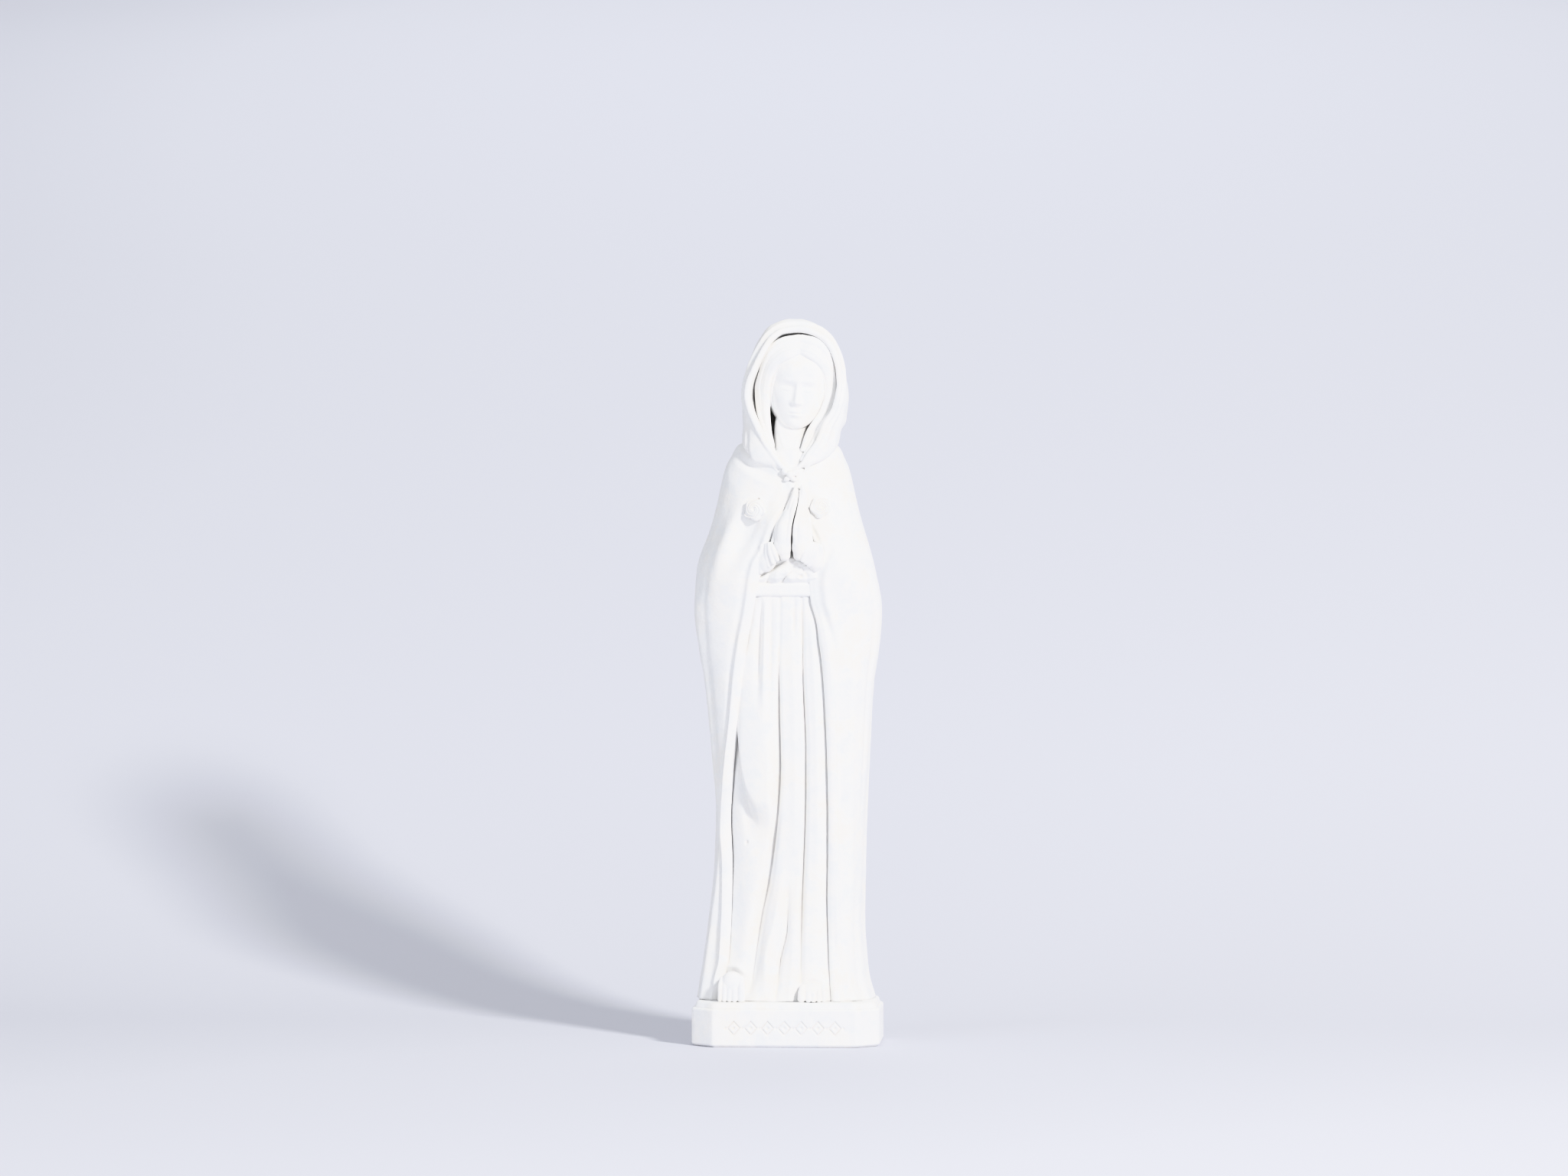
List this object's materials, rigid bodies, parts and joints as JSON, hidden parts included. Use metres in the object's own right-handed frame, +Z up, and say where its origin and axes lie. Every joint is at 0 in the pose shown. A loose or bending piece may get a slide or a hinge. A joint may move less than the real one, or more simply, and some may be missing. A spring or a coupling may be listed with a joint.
{
  "type": "praying figure statuette",
  "caption": "Matte white cast statuette of a hooded figure in prayer, in a long open mantle and belted tunic, standing on a low plinth with bevelled corners.",
  "frame": {"origin": "middle of the plinth's underside", "axes": "+Z up along the figure, -Y the way the figure faces, +X to the figure's own left"},
  "size_m": [0.0653, 0.047, 0.2513],
  "materials": {
    "plaster": "matte, unglazed, fine cast plaster with a few air-bubble pinholes",
    "rod_steel": "plain drawn rod, hidden inside"
  },
  "bodies": {
    "root": {"plinth": "plaster", "ground_slab": "plaster", "tunic": "plaster", "sash": "plaster", "bodice": "plaster", "mantle": "plaster", "hood": "plaster", "head": "plaster", "hair": "plaster", "veil_left": "plaster", "veil_right": "plaster", "hand_left": "plaster", "hand_right": "plaster", "sleeve_left": "plaster", "sleeve_right": "plaster", "foot_left": "plaster", "foot_right": "plaster", "neck_clasp": "plaster", "rose_left": "plaster", "rose_right": "plaster", "armature_rod": "rod_steel"}
  },
  "joints": []
}
